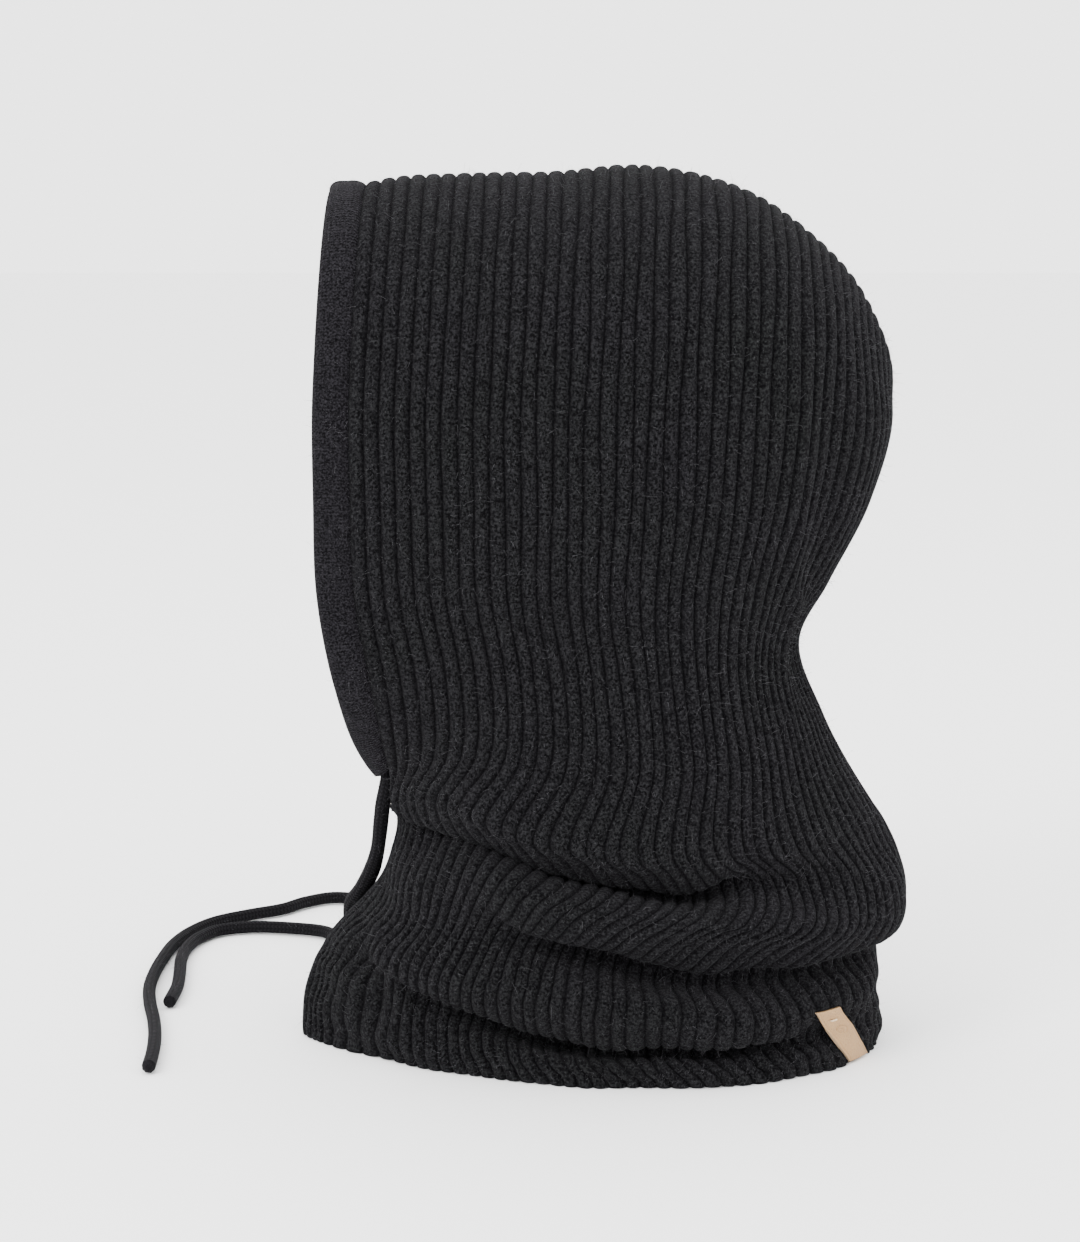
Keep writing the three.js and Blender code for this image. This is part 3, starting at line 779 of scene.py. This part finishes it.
def cloth_net(name, points, wale, flip=False, round_seam=False):
    """A sheet from a net of points (columns, rows, 3) with a UV map named wale.

    round_seam joins the last column to the first."""
    columns, rows = points.shape[:2]
    bm = bmesh.new()
    bmesh.ops.create_grid(bm, x_segments=columns - 1, y_segments=rows - 1, size=0.5)
    bm.verts.ensure_lookup_table()
    grid = np.array([v.co for v in bm.verts])
    i = np.rint((grid[:, 0] + 0.5) * (columns - 1)).astype(int)
    j = np.rint((grid[:, 1] + 0.5) * (rows - 1)).astype(int)
    layer = bm.loops.layers.uv.new("wale")
    for vert, a, b in zip(bm.verts, i, j):
        vert.co = points[a, b]
        for loop in vert.link_loops:
            loop[layer].uv = wale[a, b]
    for line in bm.edges:
        line.smooth = not line.is_boundary
    if flip:
        bmesh.ops.reverse_faces(bm, faces=bm.faces)
    if round_seam:
        bmesh.ops.remove_doubles(bm, verts=bm.verts, dist=1e-6)
    return link_mesh(name, bm)


def add_wall(obj, thickness):
    """A wall on the inner side of a sheet."""
    wall = obj.modifiers.new("wall", "SOLIDIFY")
    wall.thickness = thickness
    wall.offset = -1
    return obj


def area_of(obj):
    """The sheet's own area, one face of it, in square metres."""
    return sum(polygon.area for polygon in obj.data.polygons)


def smooth_path(points, spacing):
    """A curve through points, resampled evenly. Millimetres in and out."""
    controls = np.array(points, float)[None]
    dense = follow(controls, np.linspace(0, len(points) - 1, 40 * len(points)))[0]
    run = running_length(dense)
    even = np.linspace(0, run[-1], int(run[-1] / spacing) + 1)
    return along_line(even, run, dense), even


def carried_frames(path, up=(0.0, 0.0, 1.0)):
    """Two directions across a path at each point, carried along it without twist."""
    ahead = unit(np.gradient(path, axis=0))
    side = np.cross(ahead[0], np.array(up))
    if np.linalg.norm(side) < 0.1:
        side = np.cross(ahead[0], np.array((1.0, 0.0, 0.0)))
    sides = []
    for direction in ahead:
        side = unit(side - direction * side.dot(direction))
        sides.append(side)
    sides = np.array(sides)
    return sides, np.cross(ahead, sides)


def swept(path, first, second, wide, deep):
    """A closed net round a path: wide and deep are (turn, path) reaches along two directions."""
    points = path[None] + first[None] * wide[:, :, None] + second[None] * deep[:, :, None]
    points[-1] = points[0]
    return points


def wale_net(round_it, run):
    """The UV map of such a net, one value round it and one along it."""
    return np.stack(np.broadcast_arrays(round_it[:, None], run[None]), axis=2)


def cord_net(path, run):
    """A net of points round a path, with the columns and stitches of a tubular knit on it."""
    across, over = carried_frames(path)
    turn = np.linspace(0, 2 * math.pi, CORD_SIDES + 1)
    ridge = np.abs(((turn / (2 * math.pi) * CORD_COLUMNS) % 1.0) - 0.5) * 2
    grown = np.minimum(1, np.minimum(run + 0.4, run[-1] - run + 0.4) / 2.0) ** 0.5
    bead = 0.5 + 0.5 * np.sin(2 * math.pi * (run[None] / CORD_STITCH + ridge[:, None] * 0.5))
    swell = 0.93 + 0.05 * (1 - ridge[:, None] ** 3) + 0.03 * bead
    reach = CORD_DIAMETER / 2 * swell * grown[None]
    points = swept(path, across, over, np.cos(turn)[:, None] * reach, np.sin(turn)[:, None] * reach)
    return points * MM, wale_net(turn / (2 * math.pi), run)


def close_ends(obj):
    """Fills a tube's two open ends."""
    bm = bmesh.new()
    bm.from_mesh(obj.data)
    rims = [edge for edge in bm.edges if edge.is_boundary]
    bmesh.ops.holes_fill(bm, edges=rims, sides=0)
    bmesh.ops.recalc_face_normals(bm, faces=bm.faces)
    bm.to_mesh(obj.data)
    bm.free()


# ---- pieces ----


class HOOD_OT_knit(bpy.types.Operator):
    """Knit the hood and its collar, left and right of the centre, ribs and folds modelled"""

    bl_idname = "hood.knit"
    bl_label = "Rib-knit hood and collar"

    def execute(self, context):
        knit = context.scene.hood_knit
        colours = context.scene.hood_colours
        surface = KnitSurface()
        material = rib_knit_finish(colours, knit)
        hood_levels = over_the_crown(CHIN_LEVEL, HOOD_ROWS, CROWN_ROWS)
        collar_levels = np.linspace(0, CHIN_LEVEL, COLLAR_ROWS)
        for side, hand in ((1, "left"), (-1, "right")):
            for part, start, levels in (
                ("hood", SEAM_S, hood_levels),
                ("collar", 0.0, collar_levels),
            ):
                points, wale = rib_sheet_points(
                    surface, side, start, levels, COLUMNS_PER_RIB, knit.rib_relief
                )
                obj = cloth_net(f"{part}_{hand}", points, wale, flip=side < 0)
                flat = area_of(obj)
                add_wall(obj, knit.rib_fabric)
                finish_piece(obj, material, "rib_knit", "knit_body")
                width = (1 - start) * RIBS_PER_SIDE * RIB_PITCH * MM
                flat / width
        return {"FINISHED"}


class HOOD_OT_casing(bpy.types.Operator):
    """Knit the plain casing along the face edge"""

    bl_idname = "hood.casing"
    bl_label = "Face casing"

    def execute(self, context):
        knit = context.scene.hood_knit
        surface = KnitSurface()
        levels = over_the_crown(CASING_FOOT_LEVEL, CASING_ROWS, CASING_CROWN_ROWS)
        edge, seam = surface.net([EDGE_S, SEAM_S], levels)
        middle = surface.net(
            [(EDGE_S + SEAM_S) / 2 - 0.004, (EDGE_S + SEAM_S) / 2 + 0.004], levels
        )
        out = np.cross(middle[1] - middle[0], np.gradient(middle.mean(0), axis=0))
        across = seam - edge
        half = np.linalg.norm(across, axis=1, keepdims=True) / 2
        across = across / (2 * half)
        out -= across * (out * across).sum(1)[:, None]
        out = unit(out)
        out[-1] = (0, 0, 1)
        across[-1] = (0, 1, 0)
        centre = (edge + seam) / 2 - out * KNIT_WALL / 2
        centre, across, out = mirrored(centre), mirrored(across), mirrored(out)
        half = np.concatenate((half, half[-2::-1]))
        run = running_length(centre)
        depth = CORD_DIAMETER / 2 + CORD_CLEARANCE + CASING_WALL
        turn = np.linspace(0, 2 * math.pi, 57)
        reach = np.sign(np.cos(turn)) * np.abs(np.cos(turn)) ** 0.72
        rise = np.sin(turn) * (0.86 - 0.14 * np.cos(turn))
        wide = reach[:, None] * (half[:, 0] + CASING_EASE)[None]
        points = swept(centre, across, out, wide, rise[:, None] * depth)
        around = running_length(np.column_stack((reach * CASING_WIDTH / 2, rise * depth)))
        wale = wale_net(around, run)
        obj = cloth_net("casing_band", points * MM, wale, flip=True, round_seam=True)
        add_wall(obj, CASING_FABRIC)
        material = plain_knit_finish(context.scene.hood_colours, knit)
        finish_piece(obj, material, "plain_knit", "face_casing")
        return {"FINISHED"}


class HOOD_OT_cords(bpy.types.Operator):
    """Lay the two free ends of the drawcord"""

    bl_idname = "hood.cords"
    bl_label = "Drawcord ends"

    def execute(self, context):
        material = cord_finish(context.scene.hood_colours)
        for name, route, node in (
            ("cord_left", LEFT_TAIL, "drawcord_left_tail"),
            ("cord_right", RIGHT_TAIL, "drawcord_right_tail"),
        ):
            path, run = smooth_path(route, CORD_SPACING)
            points, wale = cord_net(path, run)
            obj = cloth_net(name, points, wale, round_seam=True)
            close_ends(obj)
            finish_piece(obj, material, "cord", node)
        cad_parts["drawcord_run"].data.materials.clear()
        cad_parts["drawcord_run"].data.materials.append(material)
        return {"FINISHED"}


def seam_ridge(name, line, inward, material, node):
    """An overlocked seam allowance: a flat rounded ridge along a line inside the knit."""
    path, run = smooth_path(line, 0.7)
    share = np.linspace(0, 1, len(path))
    old = np.linspace(0, 1, len(line))
    deep = along_line(share, old, np.array(inward))
    turn = np.linspace(0, 2 * math.pi, 25)
    whip = 1 + 0.07 * np.sin(2 * math.pi * run / SEAM_STITCH)
    ends = np.minimum(1, np.minimum(run + 0.3, run[-1] - run + 0.3) / 1.5) ** 0.5
    wide = np.cos(turn)[:, None] * SEAM_HALF_WIDTH * (whip * ends)[None]
    tall = np.sin(turn)[:, None] * SEAM_HALF_DEPTH * (whip * ends)[None]
    points = swept(path, np.array([[1.0, 0, 0]]), deep, wide, tall)
    wale = wale_net(turn / (2 * math.pi), run)
    obj = cloth_net(name, points * MM, wale, round_seam=True)
    close_ends(obj)
    return finish_piece(obj, material, "seam_knit", node)


class HOOD_OT_seams(bpy.types.Operator):
    """Link the seams inside, over the crown and below the chin"""

    bl_idname = "hood.seams"
    bl_label = "Inside seams"

    def execute(self, context):
        surface = KnitSurface()
        material = cord_finish(context.scene.hood_colours)
        depth = KNIT_WALL + SEAM_GAP + SEAM_REACH
        for name, places, node in (
            ("seam_over_crown", [(s, RIDGE_LEVEL) for s in np.linspace(0.137, 0.985, 60)], "crown_seam"),
            ("seam_below_chin", [(0.0, level) for level in np.linspace(0.6, 6.6, 50)], "front_seam"),
        ):
            line = []
            inward = []
            for s, level in places:
                out = surface.normal(s, level)
                out[0] = 0
                out = unit(out)
                line.append(surface.point(s, level) * (0, 1, 1) - out * depth)
                inward.append(-out)
            seam_ridge(name, line, inward, material, node)
        return {"FINISHED"}


class TabBed:
    """The stretch of knit under the leather tab, ready to be asked for many places at once."""

    def __init__(self, surface):
        self.run = surface.hem_run
        self.s = np.linspace(TAB_FOOT + TAB_SLANT - 0.05, TAB_FOOT + 0.05, 181)
        self.levels = np.linspace(0, TAB_TOP_LEVEL + 0.1, 181)
        self.points = surface.net(self.s, self.levels)
        out = normals_of(self.points)
        upright = out.copy()
        upright[:, :, 2] = 0
        upright = unit(upright)
        share = np.clip(self.levels / 0.6, 0, 1)[None, :, None]
        out = upright * (1 - share) + out * share
        self.out = unit(out)

    def look_up(self, net, s, level):
        """Values of a net at places between its points."""
        a = (s - self.s[0]) / (self.s[-1] - self.s[0]) * (len(self.s) - 1)
        b = (level - self.levels[0]) / (self.levels[-1] - self.levels[0]) * (len(self.levels) - 1)
        i = np.clip(a.astype(int), 0, len(self.s) - 2)
        j = np.clip(b.astype(int), 0, len(self.levels) - 2)
        a = (a - i)[..., None]
        b = (b - j)[..., None]
        low = net[i, j] * (1 - a) + net[i + 1, j] * a
        high = net[i, j + 1] * (1 - a) + net[i + 1, j + 1] * a
        return low * (1 - b) + high * b

    def place(self, across, run, depth):
        """Points of the strip: across and depth in millimetres, run 0 at the fold and 1 at the top."""
        across, run, depth = np.broadcast_arrays(across, run, depth)
        s = TAB_FOOT + TAB_SLANT * run + across / self.run
        level = TAB_TOP_LEVEL * run
        sunk = self.look_up(self.out, s, level) * depth[..., None]
        return self.look_up(self.points, s, level) - sunk

    def bridge(self, run):
        """Vectors by which a stiff leaf stands off the hollow it spans and is pulled straight."""
        share = np.linspace(0, 1, 60)
        line = self.place(np.zeros(60), share, np.zeros(60))
        along = np.clip((share - share[8]) / (1 - share[8]), 0, 1)[:, None]
        shift = (line[8] + (line[-1] - line[8]) * along - line) * (along > 0)
        out = self.look_up(self.out, TAB_FOOT + TAB_SLANT * share, TAB_TOP_LEVEL * share)
        shift -= out * np.minimum((shift * out).sum(1, keepdims=True), 0)
        return along_line(run, share, shift)


def tab_dent(across, down):
    """How deep the outer leaf is pressed at places: stitch holes, a plain ring and a rim line."""
    holes = sum(bell(np.hypot(across - x, down - 6.0), 0, 0.75) for x in (-1.6, 1.6))
    middle = np.hypot(across, down - 14.5)
    ring = bell(middle, 2.9, 0.42) + bell(middle, 0, 0.6)
    rim = bell(TAB_WIDTH / 2 - np.abs(across), 1.1, 0.3) * 0.25
    return holes * 0.5 + ring * 0.28 + rim


TAB_LEAF = 38.0
TAB_HOLES_DOWN = 6.0


class HOOD_OT_tab(bpy.types.Operator):
    """Fold the leather tab over the hem and tack it"""

    bl_idname = "hood.tab"
    bl_label = "Leather tab and its stitch"

    def execute(self, context):
        colours = context.scene.hood_colours
        bed = TabBed(KnitSurface())
        half = TAB_WIDTH / 2
        wide = np.linspace(-half, half, 41)
        edge = np.linspace(0, 1, 9)[1:-1]
        bulge = 0.3 * np.sin(np.pi * edge) - 0.22 * (1 - np.abs(2 * edge - 1)) ** 2
        across = np.concatenate((wide, half + bulge, wide[::-2], -half - bulge[::-1], wide[:1]))
        sunk = TAB_THICKNESS * np.concatenate(
            (np.zeros(41), edge, np.ones(len(wide[::-2])), edge[::-1], np.zeros(1))
        )
        back_row = np.zeros(len(wide[::-2]))
        cut = np.concatenate((np.zeros(41), np.ones(7), back_row, np.ones(7), np.zeros(1)))
        face = (cut == 0) & (sunk == 0)
        outer = np.linspace(1, 0.05, 110)
        inner = outer[::-5]
        a, b = across[:, None], sunk[:, None]
        dent = tab_dent(a, (1 - outer[None]) * TAB_LEAF) * face[:, None]
        front = bed.place(a, outer[None], b + dent - TAB_THICKNESS + TAB_PRESS)
        front += bed.bridge(outer)[None]
        front[:, :, 2] = np.maximum(front[:, :, 2], b + 0.1)
        fold = bed.place(a, np.zeros((1, 1)), np.full((1, 1), KNIT_WALL / 2))
        fold[:, :, 2] = b + 0.05
        back = bed.place(a, inner[None], KNIT_WALL - TAB_PRESS + TAB_THICKNESS - b)
        back[:, :, 2] = np.maximum(back[:, :, 2], b + 0.1)
        points = np.concatenate((front, fold, back), axis=1)
        wale = np.stack(
            [np.repeat(value[:, None], points.shape[1], 1) for value in (across, cut)], axis=2
        )
        obj = cloth_net("tab_leather", points * MM, wale, round_seam=True)
        close_ends(obj)
        finish_piece(obj, leather_finish(colours), "metallic_leather", "leather_tab")
        self.tack(bed, colours)
        return {"FINISHED"}

    def tack(self, bed, colours):
        """The thread that loops through both leaves and the knit between them."""
        run = 1 - TAB_HOLES_DOWN / TAB_LEAF
        lift = bed.bridge(run)
        middle, front, beside = (
            bed.place(np.array([x]), np.array([run]), np.array([depth]))[0]
            for x, depth in ((0, KNIT_WALL / 2), (0, 0), (3, KNIT_WALL / 2))
        )
        out = unit(front - middle)
        across = beside - middle
        across = unit(across - out * across.dot(out))
        reach = KNIT_WALL / 2 - TAB_PRESS + TAB_THICKNESS + 0.25
        turn = np.linspace(0, 2 * math.pi, 121)
        rise = np.clip(np.cos(turn) * 1.35, -1, 1)
        loop = (
            middle
            + out * (rise * reach)[:, None]
            + lift * np.maximum(rise, 0)[:, None]
            + across * (np.clip(np.sin(turn) * 1.2, -1, 1) * 1.6)[:, None]
        )
        sides, over = carried_frames(loop)
        sides[-1], over[-1] = sides[0], over[0]
        round_it = np.linspace(0, 2 * math.pi, 13)
        twist = 0.34 + 0.05 * np.sin(round_it[:, None] * 2 + turn[None] * 22)
        wide = np.cos(round_it)[:, None] * twist
        points = swept(loop, sides, over, wide, np.sin(round_it)[:, None] * twist)
        points[:, -1] = points[:, 0]
        wale = np.zeros((*points.shape[:2], 2))
        obj = cloth_net("tack_thread", points * MM, wale, round_seam=True)
        finish_piece(obj, thread_finish(colours), "thread", "tab_stitch")


class HOOD_OT_label(bpy.types.Operator):
    """Sew the blank label in behind the head"""

    bl_idname = "hood.label"
    bl_label = "Blank label"

    def execute(self, context):
        surface = KnitSurface()
        levels = np.linspace(9.97, 10.86, 60)
        half = 12.0 / 258.0
        left = surface.net(np.linspace(1 - half, 1, 25), levels)
        out = normals_of(left)
        out[-1, :, 0] = 0
        out = unit(out)
        left = left - out * (KNIT_WALL + 1.1)
        points, deep = mirrored(left), mirrored(out)
        share = np.linspace(0, 1, len(levels))
        turned = 0.35 * (bell(share, 0.02, 0.05) + bell(share, 0.98, 0.05))
        ripple = 0.15 * np.sin(np.linspace(0, 9, len(points)))[:, None] * np.sin(share * 5)[None]
        points = points + deep * (ripple - turned)[:, :, None]
        columns, rows = points.shape[:2]
        wale = np.stack(np.meshgrid(np.arange(columns), np.arange(rows), indexing="ij"), axis=2) * 0.5
        obj = cloth_net("label_tape", points * MM, wale)
        add_wall(obj, LABEL_FABRIC)
        finish_piece(obj, label_finish(context.scene.hood_colours), "woven_label", "care_label")
        return {"FINISHED"}


class HOOD_OT_fibres(bpy.types.Operator):
    """Raise single wool fibres off the knit and the cords"""

    bl_idname = "hood.fibres"
    bl_label = "Loose fibres"

    def execute(self, context):
        knit = context.scene.hood_knit
        material = fibre_finish(context.scene.hood_colours)
        chance = random.Random(FIBRE_SEED)
        for name, share in (
            ("hood_left", 0.34), ("hood_right", 0.24), ("collar_left", 0.17), ("collar_right", 0.12),
            ("casing_band", 0.08), ("cord_left", 0.025), ("cord_right", 0.025),
        ):
            self.raise_fibres(context, name, int(knit.fibre_count * share), material, chance)
        return {"FINISHED"}

    def raise_fibres(self, context, name, amount, material, chance):
        """Fibres of one piece, each a short bent strand that thins to its tip."""
        mesh = bpy.data.objects[name].data
        count = len(mesh.vertices)
        places = np.empty(count * 3)
        mesh.vertices.foreach_get("co", places)
        outs = np.empty(count * 3)
        mesh.vertices.foreach_get("normal", outs)
        places = places.reshape(-1, 3)
        outs = outs.reshape(-1, 3)
        longest = context.scene.hood_knit.fibre_length
        curve = bpy.data.curves.new(f"fibres_{name}", "CURVE")
        curve.dimensions = "3D"
        curve.bevel_depth = FIBRE_RADIUS
        curve.bevel_resolution = 0
        for _ in range(amount):
            k = chance.randrange(count)
            length = longest * (0.22 + 0.78 * chance.random() ** 2.5)
            lean = Vector([chance.gauss(0, 1) for _ in range(3)])
            curl = Vector([chance.gauss(0, 1) for _ in range(3)])
            root = Vector(places[k])
            out = Vector(outs[k])
            spline = curve.splines.new("POLY")
            spline.points.add(3)
            for i, point in enumerate(spline.points):
                t = i / 3
                rise = out * (0.75 * t - 0.3 * t * t) + lean * 0.28 * t + curl * 0.2 * t * t
                tip = root + rise * length
                point.co = (tip.x, tip.y, max(tip.z, FIBRE_FLOOR), 1)
                point.radius = 1 - 0.6 * t
        obj = bpy.data.objects.new(f"fibres_{name}", curve)
        context.scene.collection.objects.link(obj)
        finish_piece(obj, material, "cord" if name.startswith("cord") else "rib_knit")


class HOOD_OT_stage(bpy.types.Operator):
    """Set the pale floor, the soft lights and the camera"""

    bl_idname = "hood.stage"
    bl_label = "Floor, lights and camera"

    def execute(self, context):
        scene = context.scene
        bm = bmesh.new()
        bmesh.ops.create_grid(bm, x_segments=1, y_segments=1, size=FLOOR_HALF)
        floor = link_mesh("floor", bm)
        floor.data.transform(Matrix.Translation((0, 0, -FLOOR_DROP)))
        floor.data.materials.append(floor_finish(scene.hood_colours))
        world = bpy.data.worlds.new("studio")
        world.use_nodes = True
        background = world.node_tree.nodes["Background"]
        background.inputs["Color"].default_value = (1, 1, 1, 1)
        background.inputs["Strength"].default_value = WORLD_STRENGTH
        scene.world = world
        for name, place, aim, size, power in (
            ("key", (1.5, -1.4, 1.7), (0, 0, 0.2), 1.1, 60),
            ("fill", (1.6, 1.5, 0.9), (0, 0, 0.15), 1.4, 16),
            ("top", (-0.2, 0.1, 2.2), (0, 0, 0.2), 1.4, 14),
        ):
            light = bpy.data.lights.new(name, "AREA")
            light.energy = power
            light.size = size
            lamp = bpy.data.objects.new(name, light)
            lamp.location = place
            lamp.rotation_euler = (Vector(aim) - Vector(place)).to_track_quat("-Z", "Y").to_euler()
            scene.collection.objects.link(lamp)
        view = bpy.data.cameras.new("front_side_view")
        view.sensor_fit = "VERTICAL"
        view.sensor_height = 36
        view.lens = 85
        camera = bpy.data.objects.new("front_side_view", view)
        camera.location = (1.192, -0.0265, 0.3827)
        pitch = math.radians(9.82)
        camera.rotation_euler = (math.pi / 2 - pitch, 0, math.pi / 2)
        scene.collection.objects.link(camera)
        scene.camera = camera
        return {"FINISHED"}


class HOOD_PT_panel(bpy.types.Panel):
    """Sizes, colours and steps of the hood"""

    bl_idname = "HOOD_PT_panel"
    bl_label = "Balaclava hood"
    bl_space_type = "VIEW_3D"
    bl_region_type = "UI"
    bl_category = "Hood"

    def draw(self, context):
        for settings in (context.scene.hood_knit, context.scene.hood_colours):
            box = self.layout.box()
            for name in settings.bl_rna.properties.keys():
                if name not in {"rna_type", "name"}:
                    box.prop(settings, name)
        for step in STEPS:
            self.layout.operator(step.bl_idname)


STEPS = (
    HOOD_OT_stage,
    HOOD_OT_cords,
    HOOD_OT_knit,
    HOOD_OT_casing,
    HOOD_OT_seams,
    HOOD_OT_tab,
    HOOD_OT_label,
    HOOD_OT_fibres,
)
CLASSES = (HoodKnitSettings, HoodColourSettings, *STEPS, HOOD_PT_panel)


def register():
    """Makes the settings, steps and panel known."""
    for kind in CLASSES:
        bpy.utils.register_class(kind)
    bpy.types.Scene.hood_knit = bpy.props.PointerProperty(type=HoodKnitSettings)
    bpy.types.Scene.hood_colours = bpy.props.PointerProperty(type=HoodColourSettings)


def unregister():
    """Takes them away again."""
    del bpy.types.Scene.hood_colours
    del bpy.types.Scene.hood_knit
    for kind in reversed(CLASSES):
        bpy.utils.unregister_class(kind)


def main():
    """Builds the hood and its stage."""
    register()
    for step in STEPS:
        group, name = step.bl_idname.split(".")
        getattr(getattr(bpy.ops, group), name)()


if __name__ == "__main__":
    main()
